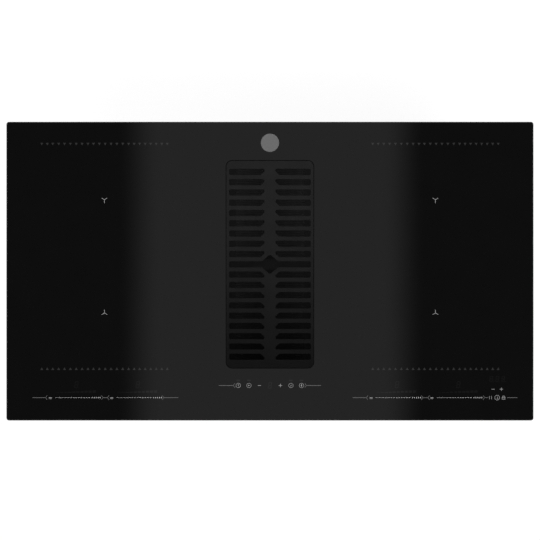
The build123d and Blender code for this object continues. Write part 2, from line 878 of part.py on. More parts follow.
def make_coil_former():
    z0 = coil_plate_top + ferrite_height
    plates = []
    for spot in coil_spots():
        plate = slab(coil_length + 6, coil_depth + 6, coil_corner + 3, z0, z0 + former_sheet, spot)
        plates.append(plate)
    return plates


def make_coil_winding(spot):
    z0 = coil_plate_top + ferrite_height + former_sheet
    z1 = glass_under - mica_sheet
    outer = slab(coil_length, coil_depth, coil_corner, z0, z1, spot)
    eye = slab(coil_eye_length, coil_eye_depth, 22.0, z0 - 1, z1 + 1, spot)
    return outer - eye


def make_mica_sheets():
    sheets = []
    for spot in coil_spots():
        sheet = slab(coil_length + 4, coil_depth + 4, coil_corner + 2,
                     glass_under - mica_sheet, glass_under, spot)
        sheets.append(sheet - rod(8.0, -5.0, 5.0, spot))
    return sheets


def make_temperature_sensors():
    z0 = coil_plate_top + ferrite_height + former_sheet
    return [rod(6.0, z0, glass_under, spot) for spot in coil_spots()]


# ---- circuit boards, displays and cooling fans ------------------------------

def make_board(area, under):
    return block(*area, under, under + board_sheet)


def inset_corners(area, inset):
    x0, x1, y0, y1 = area
    return [(x, y) for x in (x0 + inset, x1 - inset) for y in (y0 + inset, y1 - inset)]


def make_board_standoffs():
    right = inset_corners(power_board, 8.0)
    spots = right + [(-x, y) for x, y in right] + inset_corners(blower_board, 6.0)
    return [rod(3.5, pan_floor, power_board_under, spot) for spot in spots]


def make_heat_sink():
    x0, width, fins = 330.0, 44.0, 8
    sink = block(x0, x0 + width, -120.0, 90.0, component_floor, component_floor + 4)
    step = (width - 1.5) / (fins - 1)
    for index in range(fins):
        x = x0 + index * step
        sink = sink + block(x, x + 1.5, -120.0, 90.0, component_floor, component_floor + 28)
    return sink


def make_film_capacitors():
    boxes = []
    for row in range(4):
        y = -130.0 + row * 60.0
        boxes.append(block(285.0, 317.0, y, y + 18, component_floor, component_floor + 24))
    return boxes


def make_power_chokes():
    chokes = []
    for y in (-110.0, -40.0):
        chokes.append(pipe(18.0, 9.0, component_floor, component_floor + 14, (250.0, y)))
    return chokes


def make_relays():
    relays = []
    for y in (20.0, 45.0, 70.0):
        relays.append(block(205.0, 234.0, y, y + 13, component_floor, component_floor + 16))
    return relays


def make_bulk_capacitors():
    power = [rod(11.0, component_floor, component_floor + 27, (215.0, y)) for y in (-140.0, -112.0)]
    blower = rod(9.0, component_floor, component_floor + 25, (118.0, 80.0))
    return both_sides(power) + [blower]


def make_fan_frame():
    z0 = pan_floor
    half = fan_size / 2
    frame = block(-half, half, -half, half, z0, z0 + fan_height)
    frame = frame - rod(half - 1.5, z0 - 1, z0 + fan_height + 1)
    hub = rod(fan_hub + 1, z0, z0 + 3)
    for index in range(3):
        strut = block(fan_hub - 2, half - 1, -2.0, 2.0, z0, z0 + 2.5)
        hub = hub + Rot(0, 0, 45 + index * 120) * strut
    frame = frame + hub - rod(1.55, z0 + 1, z0 + 5)
    holes = [rod(2.2, z0 - 1, z0 + fan_height + 1, (x, y))
             for x in (-half + 4.5, half - 4.5) for y in (-half + 4.5, half - 4.5)]
    return Pos(fan_x, fan_y, 0) * (frame - holes)


def make_fan_rotor():
    z0 = pan_floor + 3.5
    middle = z0 + 10
    hub = rod(fan_hub, z0, z0 + 20) + rod(1.5, z0 - 2, z0 + 1)
    reach = fan_size / 2 - 2.5
    blade = Pos((fan_hub + reach) / 2, 0, middle) * Rot(38, 0, 0) * Box(
        reach - fan_hub + 4, 24.0, 1.6)
    blade = blade & rod(reach, z0 - 1, z0 + 21)
    rotor = hub + [Rot(0, 0, index * 360.0 / fan_blades) * blade for index in range(fan_blades)]
    return Pos(fan_x, fan_y, 0) * rotor


def make_touch_springs():
    return [pipe(3.0, 2.4, touch_top, glass_under, spot) for spot in key_spots]


def make_display_modules():
    top = glass_under - 0.4
    modules = []
    for x, y in zone_display_spots:
        modules.append(block(x - 7, x + 7, y - 7, y + 7, touch_top, top))
    modules.append(block(-6.0, 6.0, -202.0, -188.0, touch_top, top))
    modules.append(block(370.0, 407.0, -191.0, -177.0, touch_top, top))
    return modules


def make_slider_foils():
    top = glass_under
    return [block(x0, x1, key_row_y - 5, key_row_y + 5, touch_top, top)
            for x0, x1 in slider_spans]


def make_touch_carrier(area):
    x0, x1, y0, y1 = area
    deck = block(x0 - 1, x1 + 1, y0 - 1, y1 + 1, touch_board_under - 4, touch_board_under)
    deck = deck - block(x0 + 5, x1 - 5, y0 + 5, y1 - 5, touch_board_under - 2,
                        touch_board_under + 1)
    for x, y in inset_corners(area, 4.0):
        deck = deck + rod(3.5, pan_floor, touch_board_under - 3, (x, y))
    return deck


# ---- mains connection -------------------------------------------------------

def make_terminal_block():
    body = block(terminal_x0, terminal_x1, terminal_y0, terminal_y1, pan_floor,
                 pan_floor + terminal_height)
    top = pan_floor + terminal_height
    middle = (terminal_y0 + terminal_y1) / 2
    cuts = []
    for pole in range(5):
        x = terminal_x0 + 7 + pole * 14
        cuts.append(rod(3.0, top - 8, top + 1, (x, middle - 7)))
        cuts.append(rod(3.0, top - 8, top + 1, (x, middle + 7)))
    return body - cuts


def make_terminal_screws():
    top = pan_floor + terminal_height
    middle = (terminal_y0 + terminal_y1) / 2
    screws = []
    for pole in range(5):
        x = terminal_x0 + 7 + pole * 14
        for y in (middle - 7, middle + 7):
            screws.append(rod(2.9, top - 8, top - 1, (x, y)))
    return screws


def make_terminal_cover():
    x0, x1 = terminal_x0 - 4, terminal_x1 + 4
    y0, y1 = terminal_y0 - 4, terminal_y1 + 4
    top = pan_floor + terminal_height + 6
    cover = block(x0, x1, y0, y1, pan_floor, top)
    cover = cover - block(x0 + 1.5, x1 - 1.5, y0 + 1.5, y1 - 1.5, pan_floor - 1, top - 1.5)
    return cover - block(x1 - 3, x1 + 1, y0 + 8, y1 - 8, pan_floor - 1, pan_floor + 14)


def make_cable_gland():
    center = (gland_x, gland_y)
    shank = rod(gland_shank, pan_floor_under - 1, pan_floor + 7, center)
    cap = Pos(gland_x, gland_y, gland_bottom) * extrude(
        RegularPolygon(14.0, 6), pan_floor_under - gland_bottom)
    cap = cap - pipe(30.0, 11.0, gland_bottom - 1, gland_bottom + 4, center)
    return shank + cap - rod(gland_bore, gland_bottom - 1, 0.0, center)


def make_gland_nut():
    nut = Pos(gland_x, gland_y, pan_floor) * extrude(RegularPolygon(13.5, 6), 5.0)
    return nut - rod(gland_shank, pan_floor - 1, pan_floor + 6, (gland_x, gland_y))


# ---- worktop clamps ---------------------------------------------------------


def make_worktop_clamp(side, y):
    wall = pan_length / 2
    bottom = clamp_screw_z - clamp_travel - clamp_screw_radius - 5
    plate = block(wall, wall + clamp_sheet, y - clamp_width / 2, y + clamp_width / 2,
                  bottom, clamp_foot_top)
    foot = block(wall, wall + clamp_foot_reach, y - clamp_width / 2, y + clamp_width / 2,
                 clamp_foot_top - clamp_sheet, clamp_foot_top)
    half = clamp_travel + 0.3
    slot = block(wall - 1, wall + 3, y - clamp_screw_radius - 0.3, y + clamp_screw_radius + 0.3,
                 clamp_screw_z - half, clamp_screw_z + half)
    ends = [rod_along_x(clamp_screw_radius + 0.3, wall - 1, wall + 3, y, clamp_screw_z + step)
            for step in (-half, half)]
    clamp = plate + foot - [slot] - ends
    return clamp if side > 0 else to_left(clamp)


def make_clamp_screws():
    wall = pan_length / 2
    seat = wall + clamp_sheet + 0.2
    screws = []
    for y in (-clamp_y, clamp_y):
        shank = rod_along_x(clamp_screw_radius, wall - 6, seat, y, clamp_screw_z)
        head = rod_along_x(3.8, seat, seat + 2.2, y, clamp_screw_z)
        screws.append(shank + head)
    return both_sides(screws)


# ---- nodes ------------------------------------------------------------------

coil_windings = [make_coil_winding(spot) for spot in coil_spots()]

nodes = {
    "glass_top": make_glass_top(),
    "worktop_seal": make_worktop_seal(),
    "glass_bond_bead": make_glass_bond_bead(),
    "base_pan": make_base_pan(),
    "air_grille": make_air_grille(),
    "grille_buffers": make_grille_buffers(),
    "inlet_frame": make_inlet_frame(),
    "air_well": make_air_well(),
    "filter_frame": make_filter_frame(),
    "filter_meshes": make_filter_meshes(),
    "filter_handle": make_filter_handle(),
    "drip_tray": make_drip_tray(),
    "plenum_shell": make_plenum_shell(),
    "plenum_base": make_plenum_base(),
    "case_screws": make_case_screws() + make_frame_screws() + make_spigot_screws()
                   + make_scroll_screws() + make_terminal_screws(),
    "scroll_lower": make_scroll_half(False),
    "scroll_upper": make_scroll_half(True),
    "blower_feet": make_blower_feet(),
    "fan_impeller": make_fan_impeller(),
    "motor_rotor": make_motor_rotor(),
    "rotor_magnets": make_rotor_magnets(),
    "motor_shaft": make_motor_shaft(),
    "motor_plate": make_motor_plate(),
    "motor_bearings": make_motor_bearings(),
    "stator_core": make_stator_core(),
    "stator_windings": make_stator_windings(),
    "duct_spigot": make_duct_spigot(),
    "flap_pin": make_flap_pin(),
    "non_return_flap": make_non_return_flap(),
    "coil_trays": both_sides([make_coil_tray()]),
    "tray_posts": both_sides(make_tray_posts()),
    "tray_springs": both_sides(make_tray_springs()),
    "coil_ferrites": both_sides(make_ferrites()),
    "coil_formers": both_sides(make_coil_former()),
    "coils_right": coil_windings,
    "coils_left": [to_left(winding) for winding in coil_windings],
    "mica_sheets": both_sides(make_mica_sheets()),
    "temperature_sensors": both_sides(make_temperature_sensors()),
    "power_boards": both_sides([make_board(power_board, power_board_under)])
                    + [make_board(blower_board, power_board_under)],
    "board_standoffs": make_board_standoffs(),
    "heat_sinks": both_sides([make_heat_sink()]),
    "board_capacitors": both_sides(make_film_capacitors()) + make_bulk_capacitors(),
    "chokes_and_relays": both_sides(make_power_chokes() + make_relays()),
    "cooling_fan_frames": both_sides([make_fan_frame()]),
    "cooling_fan_right": make_fan_rotor(),
    "cooling_fan_left": to_left(make_fan_rotor()),
    "touch_boards": [make_board(area, touch_board_under)
                     for area in (touch_left, touch_middle, touch_right)],
    "touch_carriers": [make_touch_carrier(area)
                       for area in (touch_left, touch_middle, touch_right)],
    "touch_electrodes": make_touch_springs() + make_slider_foils(),
    "display_modules": make_display_modules(),
    "terminal_block": make_terminal_block(),
    "terminal_cover": make_terminal_cover(),
    "cable_gland": [make_cable_gland(), make_gland_nut()],
    "clamp_screws": make_clamp_screws(),
}
for side_name, side in (("left", -1), ("right", 1)):
    for end_name, y in (("front", -clamp_y), ("rear", clamp_y)):
        nodes[f"worktop_clamp_{side_name}_{end_name}"] = make_worktop_clamp(side, y)

os.makedirs("parts", exist_ok=True)
for name, shape in nodes.items():
    solids = shape if isinstance(shape, list) else [shape]
    export_step(Compound(children=solids), f"parts/{name}.step")
print(len(nodes), "nodes")
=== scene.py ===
import json
import math

import bmesh
import bpy
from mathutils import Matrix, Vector

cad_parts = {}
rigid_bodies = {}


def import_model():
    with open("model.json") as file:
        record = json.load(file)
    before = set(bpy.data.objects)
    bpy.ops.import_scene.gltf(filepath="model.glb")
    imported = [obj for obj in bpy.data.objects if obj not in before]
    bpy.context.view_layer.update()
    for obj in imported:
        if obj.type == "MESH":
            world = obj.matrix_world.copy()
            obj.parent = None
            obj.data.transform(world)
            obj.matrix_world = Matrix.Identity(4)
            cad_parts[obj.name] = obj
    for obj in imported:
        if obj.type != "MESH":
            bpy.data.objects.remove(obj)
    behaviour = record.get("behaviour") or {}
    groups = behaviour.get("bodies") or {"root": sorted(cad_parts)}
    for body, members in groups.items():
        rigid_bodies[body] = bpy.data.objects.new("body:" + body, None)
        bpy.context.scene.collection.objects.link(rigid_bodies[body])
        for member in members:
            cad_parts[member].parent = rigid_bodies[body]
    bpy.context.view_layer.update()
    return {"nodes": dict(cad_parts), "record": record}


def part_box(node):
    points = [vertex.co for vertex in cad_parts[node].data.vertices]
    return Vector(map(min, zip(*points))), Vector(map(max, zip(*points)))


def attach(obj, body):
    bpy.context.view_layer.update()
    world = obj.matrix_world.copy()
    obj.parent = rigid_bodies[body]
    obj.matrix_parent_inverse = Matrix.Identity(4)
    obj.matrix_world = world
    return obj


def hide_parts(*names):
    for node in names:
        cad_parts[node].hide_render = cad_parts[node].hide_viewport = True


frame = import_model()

mm = 0.001
nodes = frame["nodes"]
slotOfNode = {part["node"]: part["material_slot"] for part in frame["record"]["subparts"]}
print("frame loaded,", len(nodes), "solids")


# the camera looks straight down on the glass, as in the photo

photoView = {
    "lens": 360, "sensor": 36, "x": 0.0001, "y": 0.0020, "height": 9.226, "near": 0.1, "far": 200,
}
bpy.ops.object.camera_add(
    location=(photoView["x"], photoView["y"], photoView["height"]), rotation=(0, 0, 0)
)
camera = bpy.context.active_object
camera.data.lens = photoView["lens"]
camera.data.sensor_width = photoView["sensor"]
camera.data.clip_start = photoView["near"]
camera.data.clip_end = photoView["far"]
bpy.context.scene.camera = camera
bpy.context.scene.view_settings.view_transform = "Standard"


def fromHex(code):
    # an sRGB hex value as the linear colour that a shader takes
    parts = [int(code[i:i + 2], 16) / 255 for i in (1, 3, 5)]
    return [c / 12.92 if c <= 0.04045 else ((c + 0.055) / 1.055) ** 2.4 for c in parts] + [1]


def addNode(tree, kind, inputs=None, **settings):
    node = tree.nodes.new(kind)
    for name, value in settings.items():
        setattr(node, name, value)
    for name, value in (inputs or {}).items():
        if isinstance(value, bpy.types.NodeSocket):
            tree.links.new(value, node.inputs[name])
        else:
            node.inputs[name].default_value = value
    return node


def noise(tree, place, sizeInMm, detail=2.0):
    # cloudy patches of about this size
    cloud = {"Vector": place, "Scale": 1 / (sizeInMm * mm), "Detail": detail}
    return addNode(tree, "ShaderNodeTexNoise", cloud).outputs["Fac"]


def waves(tree, place, pitchInMm, **pattern):
    # a wave texture has one period in 2 pi / 20 of a unit
    stripes = {"Vector": place, "Scale": math.tau / 20 / (pitchInMm * mm)}
    return addNode(tree, "ShaderNodeTexWave", stripes, **pattern).outputs["Fac"]


def maths(tree, operation, first, second=0.0):
    return addNode(tree, "ShaderNodeMath", {0: first, 1: second}, operation=operation).outputs[0]


def startMaterial(name, roughness, metallic=0.0, ior=None):
    material = bpy.data.materials.new(name)
    material.use_nodes = True
    tree = material.node_tree
    shader = tree.nodes["Principled BSDF"]
    shader.inputs["Roughness"].default_value = roughness
    shader.inputs["Metallic"].default_value = metallic
    if ior:
        shader.inputs["IOR"].default_value = ior
    place = addNode(tree, "ShaderNodeTexCoord").outputs["Object"]
    return material, tree, shader, place


def colourBy(tree, shader, amount, first, second):
    # the base colour goes from the first shade to the second as the amount goes from 0 to 1
    mix = addNode(tree, "ShaderNodeMix", data_type="RGBA")
    mix.inputs[6].default_value = fromHex(first)
    mix.inputs[7].default_value = fromHex(second)
    tree.links.new(amount, mix.inputs[0])
    tree.links.new(mix.outputs[2], shader.inputs["Base Color"])


def between(tree, amount, low, high, fromLow=0.0, fromHigh=1.0, curve="LINEAR"):
    spread = {
        "Value": amount, "From Min": fromLow, "From Max": fromHigh, "To Min": low, "To Max": high,
    }
    return addNode(tree, "ShaderNodeMapRange", spread, interpolation_type=curve).outputs["Result"]


def relief(tree, shader, height, depthInMm):
    bump = addNode(
        tree, "ShaderNodeBump", {"Height": height, "Distance": depthInMm * mm, "Strength": 1.0}
    )
    tree.links.new(bump.outputs["Normal"], shader.inputs["Normal"])


# noise seldom leaves its middle, so a shade or a roughness spreads over this part of it
shadeSpan = (0.35, 0.65)
roughSpan = (0.3, 0.7)


def grainyMaterial(look):
    # two close shades in soft patches, a roughness that drifts with them, and a fine raised grain
    material, tree, shader, place = startMaterial(
        look["name"], look["roughness"], look.get("metallic", 0.0), look.get("ior")
    )
    shader.inputs["Specular IOR Level"].default_value = look.get("shine", 0.5)
    patches = noise(tree, place, look["patch"], detail=3.0)
    shade = between(tree, patches, 0.0, 1.0, *shadeSpan)
    colourBy(tree, shader, shade, look["dark"], look["light"])
    middle, drift = look["roughness"], look.get("drift", 0.08)
    rough = between(tree, patches, middle - drift, middle + drift, *roughSpan)
    tree.links.new(rough, shader.inputs["Roughness"])
    relief(tree, shader, noise(tree, place, look["grain"]), look["depth"])
    return material


# how far up the surface looks, from 0 to 1, tells the ground rim from the polished face
glassLook = {
    "body": "#080808", "bodyDeep": "#060606", "mottle": 60,
    "polish": 0.02, "ground": 0.1, "rimAt": 0.9, "faceAt": 0.99,
}


def blackGlassCeramic():
    # fire-polished glass-ceramic, black all through: a still mirror, with a ground grey-looking rim
    material, tree, shader, place = startMaterial(
        "black glass-ceramic", glassLook["polish"], ior=1.5
    )
    mottle = noise(tree, place, glassLook["mottle"])
    colourBy(tree, shader, mottle, glassLook["bodyDeep"], glassLook["body"])
    facing = addNode(tree, "ShaderNodeTexCoord").outputs["Normal"]
    upward = addNode(tree, "ShaderNodeSeparateXYZ", {"Vector": facing}).outputs["Z"]
    rough = between(
        tree, upward, glassLook["ground"], glassLook["polish"],
        glassLook["rimAt"], glassLook["faceAt"],
    )
    tree.links.new(rough, shader.inputs["Roughness"])
    return material


# matt enamel over sand-cast iron: near black, with a faint pebble that breaks up the shine
enamelLook = {
    "name": "matt enamelled cast iron", "dark": "#101010", "light": "#121212",
    "roughness": 0.6, "drift": 0.04, "patch": 35, "grain": 0.9, "depth": 0.02,
    "ior": 1.5, "shine": 0.2,
}

plasticLooks = {
    "black_plastic": {
        "name": "moulded black polypropylene", "dark": "#17181a", "light": "#1d1e20",
        "roughness": 0.48, "patch": 45, "grain": 0.7, "depth": 0.03, "ior": 1.49,
    },
    "grey_plastic": {
        "name": "moulded grey ABS", "dark": "#63676b", "light": "#6c7074",
        "roughness": 0.42, "patch": 50, "grain": 0.8, "depth": 0.02, "ior": 1.53,
    },
    "white_plastic": {
        "name": "moulded white PBT", "dark": "#cfcdc5", "light": "#d8d6cf",
        "roughness": 0.4, "patch": 30, "grain": 0.6, "depth": 0.015, "ior": 1.55,
    },
    "black_rubber": {
        "name": "extruded EPDM rubber", "dark": "#111112", "light": "#191919",
        "roughness": 0.78, "patch": 18, "grain": 0.5, "depth": 0.03, "ior": 1.5,
    },
    "silicone": {
        "name": "cured grey silicone", "dark": "#3b3c3e", "light": "#434446",
        "roughness": 0.38, "patch": 12, "grain": 2.0, "depth": 0.05, "ior": 1.41,
    },
    "circuit_board": {
        "name": "solder-masked glass epoxy", "dark": "#0d3a24", "light": "#17553a",
        "roughness": 0.3, "patch": 4, "grain": 1.2, "depth": 0.02, "ior": 1.55,
    },
    "capacitor_film": {
        "name": "epoxy-dipped film capacitor", "dark": "#7d2f24", "light": "#8c382b",
        "roughness": 0.35, "patch": 10, "grain": 2.5, "depth": 0.05, "ior": 1.55,
    },
    "display": {
        "name": "smoked acrylic display lens", "dark": "#0b0b0d", "light": "#121114",
        "roughness": 0.12, "patch": 20, "grain": 3.0, "depth": 0.004, "ior": 1.49, "drift": 0.03,
    },
    "sensor_glass": {
        "name": "glass-beaded thermistor", "dark": "#8a4a26", "light": "#a35c30",
        "roughness": 0.18, "patch": 3, "grain": 1.0, "depth": 0.01, "ior": 1.52, "drift": 0.05,
    },
    "mica": {
        "name": "pressed mica sheet", "dark": "#8f8570", "light": "#b5ab92",
        "roughness": 0.36, "patch": 3.5, "grain": 1.5, "depth": 0.02, "ior": 1.58,
    },
    "magnet_ferrite": {
        "name": "sintered ferrite", "dark": "#27272a", "light": "#303034",
        "roughness": 0.55, "patch": 9, "grain": 0.4, "depth": 0.02, "ior": 2.2,
    },
}

metalLooks = {
    "zinc_screws": {
        "name": "zinc-plated steel", "dark": "#b3b6bb", "light": "#c6c7c8",
        "roughness": 0.3, "patch": 4, "grain": 0.8, "depth": 0.008,
    },
    "bearing_steel": {
        "name": "ground bearing steel", "dark": "#9fa0a2", "light": "#aeafb0",
        "roughness": 0.2, "patch": 8, "grain": 0.5, "depth": 0.003,
    },
    "die_cast_aluminium": {
        "name": "die-cast aluminium", "dark": "#8e9092", "light": "#a0a2a3",
        "roughness": 0.42, "patch": 14, "grain": 1.1, "depth": 0.03,
    },
    "spring_steel": {
        "name": "oil-tempered spring steel", "dark": "#75777a", "light": "#8b8c8e",
        "roughness": 0.33, "patch": 5, "grain": 0.7, "depth": 0.005,
    },
}


coatingLooks = {
    "coated_mesh": {
        "name": "black-coated expanded aluminium", "dark": "#101010", "light": "#131313",
        "roughness": 0.5, "patch": 22, "grain": 0.8, "depth": 0.02, "ior": 1.5, "shine": 0.3,
    },
    "coated_steel": {
        "name": "black powder-coated steel", "dark": "#090909", "light": "#0c0c0c",
        "roughness": 0.55, "patch": 22, "grain": 1.4, "depth": 0.03, "ior": 1.5, "shine": 0.25,
    },
}


spangle = {
    "size": 7, "cloud": 40, "frost": 1.2, "frostDepth": 0.01,
    "dull": "#9a9ea1", "bright": "#b9bdbf", "span": (0.0, 0.6), "rough": (0.34, 0.46),
}


def galvanisedSteel():
    # hot-dipped zinc: crystals about 7 mm across, each with its own tilt and so its own grey
    low, high = spangle["rough"]
    material, tree, shader, place = startMaterial("hot-dip galvanised steel", low, metallic=1.0)
    cells = {"Vector": place, "Scale": 1 / (spangle["size"] * mm)}
    crystals = addNode(tree, "ShaderNodeTexVoronoi", cells)
    own = addNode(tree, "ShaderNodeSeparateColor", {"Color": crystals.outputs["Color"]})
    clouds = noise(tree, place, spangle["cloud"], detail=3.0)
    shade = maths(tree, "MULTIPLY", own.outputs["Red"], clouds)
    tone = between(tree, shade, 0.0, 1.0, *spangle["span"])
    colourBy(tree, shader, tone, spangle["dull"], spangle["bright"])
    tree.links.new(between(tree, own.outputs["Green"], low, high), shader.inputs["Roughness"])
    relief(tree, shader, noise(tree, place, spangle["frost"]), spangle["frostDepth"])
    return material


brushedLooks = {
    "stainless_steel": {
        "name": "brushed stainless steel", "dark": "#a5a39f", "light": "#bdbbb7",
        "rough": (0.22, 0.38), "line": 0.35, "along": (0.03, 1, 1), "depth": 0.006,
    },
    "sheet_aluminium": {
        "name": "rolled aluminium sheet", "dark": "#a7a9ab", "light": "#bbbdbe",
        "rough": (0.28, 0.44), "line": 0.5, "along": (1, 0.02, 1), "depth": 0.006,
    },
}


def brushedMetal(look):
    # fine scratches in one direction, left by a belt or by the mill's rolls
    low, high = look["rough"]
    material, tree, shader, place = startMaterial(look["name"], low, metallic=1.0)
    drawn = addNode(tree, "ShaderNodeMapping", {"Vector": place, "Scale": look["along"]})
    scratches = noise(tree, drawn.outputs["Vector"], look["line"], detail=4.0)
    shade = between(tree, scratches, 0.0, 1.0, *roughSpan)
    colourBy(tree, shader, shade, look["dark"], look["light"])
    rough = between(tree, scratches, low, high, *roughSpan)
    tree.links.new(rough, shader.inputs["Roughness"])
    relief(tree, shader, scratches, look["depth"])
    return material


sheetStack = {
    "sheet": 0.5, "gap": "#5a5c5f", "edge": "#85878a", "roughness": 0.45, "depth": 0.05,
}


def laminatedSteel():
    # stamped sheets stacked along the axle: fine level lines round the edge
    material, tree, shader, place = startMaterial(
        "stacked electrical steel", sheetStack["roughness"], metallic=1.0
    )
    sheets = waves(tree, place, sheetStack["sheet"], bands_direction="Z")
    colourBy(tree, shader, sheets, sheetStack["gap"], sheetStack["edge"])
    relief(tree, shader, sheets, sheetStack["depth"])
    return material


# the groove colour is painted shade between the turns, and the crest colour a painted highlight on
# them
coilWire = {
    "x": 282.6, "middleY": 25.35, "halfY": 96.75, "turn": 3.2,
    "paintedGrooveShade": "#6b3a1d", "paintedCrestHighlight": "#b87343", "roughness": 0.34, "depth": 0.9,
}


def litzWire():
    # stranded copper in clear lacquer, wound flat: rings about each zone's centre
    material, tree, shader, place = startMaterial(
        "lacquered litz wire", coilWire["roughness"], metallic=1.0
    )
    axes = addNode(tree, "ShaderNodeSeparateXYZ", {"Vector": place})
    acrossSide = maths(tree, "ABSOLUTE", axes.outputs["X"])
    across = maths(tree, "SUBTRACT", acrossSide, coilWire["x"] * mm)
    fromMiddle = maths(tree, "SUBTRACT", axes.outputs["Y"], coilWire["middleY"] * mm)
    folded = maths(tree, "ABSOLUTE", fromMiddle)
    along = maths(tree, "SUBTRACT", folded, coilWire["halfY"] * mm)
    centred = addNode(tree, "ShaderNodeCombineXYZ", {"X": across, "Y": along}).outputs["Vector"]
    turns = waves(tree, centred, coilWire["turn"], wave_type="RINGS", rings_direction="Z")
    # painted shade and highlight: the colour goes dark in each groove between turns and bright on
    # each crest
    colourBy(tree, shader, turns, coilWire["paintedGrooveShade"], coilWire["paintedCrestHighlight"])
    relief(tree, shader, turns, coilWire["depth"])
    return material


# the groove colour is painted shade between the turns, and the crest colour a painted highlight on
# them
magnetWire = {
    "turn": 0.8, "paintedGrooveShade": "#7a3d1a", "paintedCrestHighlight": "#c77a41", "roughness": 0.3, "depth": 0.2,
}


def enamelledCopper():
    # round magnet wire in amber enamel: close turns round each tooth, with painted highlights and
    # shade
    material, tree, shader, place = startMaterial(
        "enamelled copper wire", magnetWire["roughness"], metallic=1.0
    )
    turns = waves(tree, place, magnetWire["turn"], bands_direction="DIAGONAL")
    # painted shade and highlight: the colour goes dark in each groove between turns and bright on
    # each crest
    colourBy(tree, shader, turns, magnetWire["paintedGrooveShade"], magnetWire["paintedCrestHighlight"])
    relief(tree, shader, turns, magnetWire["depth"])
    return material


finishes = {
    "black_glass": blackGlassCeramic(),
    "cast_iron_enamel": grainyMaterial(enamelLook),
    "galvanised_steel": galvanisedSteel(),
    "electrical_steel": laminatedSteel(),
    "litz_wire": litzWire(),
    "copper_winding": enamelledCopper(),
}
for slotName, look in brushedLooks.items():
    finishes[slotName] = brushedMetal(look)
for slotName, look in {**plasticLooks, **coatingLooks}.items():
    finishes[slotName] = grainyMaterial(look)
for slotName, look in metalLooks.items():
    finishes[slotName] = grainyMaterial({**look, "metallic": 1.0})


def dress(piece, material):
    piece.data.materials.clear()
    piece.data.materials.append(material)


for nodeName, solid in nodes.items():
    dress(solid, finishes[slotOfNode[nodeName]])
print("materials made:", len(finishes))


# marks on the glass are drawn flat in edit mode and then given the thickness of a print

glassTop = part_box("glass_top")[1].z
printLayer = {"thickness": 0.05, "unlit": 0.03, "sunk": 0.01}
printLook = {"roughness": 0.25, "patch": 6, "grain": 0.6, "depth": 0.002}
# a point this close to a place, in mm, counts as lying there
hair = 0.001


def printMaterial(name, colour, roughness=printLook["roughness"], ior=1.5):
    # ceramic ink fired into the glass: a thin solid film, a little duller than the glass round it
    return grainyMaterial({
        **printLook, "name": name, "dark": colour, "light": colour,
        "roughness": roughness, "drift": roughness / 8, "ior": ior,
    })


def startDrawing(name):
    bpy.ops.object.select_all(action="DESELECT")
    bpy.ops.object.add(type="MESH")
    drawing = bpy.context.active_object
    drawing.name = name
    drawing.data.name = name
    bpy.ops.object.mode_set(mode="EDIT")
    return drawing


def onGlass(x, y):
    return (x * mm, y * mm, glassTop - printLayer["sunk"] * mm)


def keepPoints(drawing, test):
    # of the points now selected, only those that pass the test stay so
    shape = bmesh.from_edit_mesh(drawing.data)
    for point in shape.verts:
        point.select = point.select and test(point.co / mm)
    shape.select_flush_mode()
    bmesh.update_edit_mesh(drawing.data)


def drawPatch(x, y, width, height, corner=0.0):
    bpy.ops.mesh.primitive_plane_add(size=mm, location=onGlass(x, y))
    bpy.ops.transform.resize(value=(width, height, 1), center_override=onGlass(x, y))
    if corner:
        bpy.ops.mesh.bevel(offset=corner * mm, segments=3, affect="VERTICES")


def drawStroke(startPoint, endPoint, width, corner=0.0):
    start, end = Vector(startPoint), Vector(endPoint)
    middle = (start + end) / 2
    run = end - start
    drawPatch(middle.x, middle.y, run.length, width, corner)
    # without a window the turn goes the other way round
    turn = -math.atan2(run.y, run.x)
    bpy.ops.transform.rotate(
        value=turn, orient_axis="Z", center_override=onGlass(middle.x, middle.y)
    )


def drawRing(x, y, diameter, width, sides=32):
    bpy.ops.mesh.primitive_circle_add(
        vertices=sides, radius=diameter / 2 * mm, fill_type="NOTHING", location=onGlass(x, y)
    )
    bpy.ops.mesh.extrude_edges_move()
    inner = 1 - 2 * width / diameter
    bpy.ops.transform.resize(value=(inner, inner, 1), center_override=onGlass(x, y))


def drawFrame(x, y, width, height, line):
    drawPatch(x, y, width, height)
    bpy.ops.mesh.inset(thickness=line * mm)
    bpy.ops.mesh.delete(type="FACE")


arrow = {"reach": 2.6, "height": 7.5, "line": 0.75}


def drawArrow(drawing, apexX, y, opens):
    # a lower arm, leaned outwards, and an upper arm drawn out of its end at the apex
    reach, height, width = arrow["reach"], arrow["height"], arrow["line"]
    middle = onGlass(apexX + opens * width / 2, y - height / 4)
    bpy.ops.mesh.primitive_plane_add(size=mm, location=middle)
    bpy.ops.transform.resize(value=(width, height / 2, 1), center_override=middle)
    keepPoints(drawing, lambda p: p.y < y - height / 4)
    bpy.ops.transform.translate(value=(opens * reach * mm, 0, 0))
    bpy.ops.mesh.select_linked()
    keepPoints(drawing, lambda p: p.y > y - height / 4)
    bpy.ops.mesh.extrude_edges_move(
        TRANSFORM_OT_translate={"value": (opens * reach * mm, height / 2 * mm, 0)}
    )


def finishDrawing(drawing, material, thickness=printLayer["thickness"]):
    bpy.ops.mesh.select_all(action="SELECT")
    rise = thickness + printLayer["sunk"]
    bpy.ops.mesh.extrude_region_move(TRANSFORM_OT_translate={"value": (0, 0, rise * mm)})
    bpy.ops.mesh.select_all(action="SELECT")
    bpy.ops.mesh.normals_make_consistent(inside=False)
    bpy.ops.object.mode_set(mode="OBJECT")
    dress(drawing, material)
    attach(drawing, "chassis")


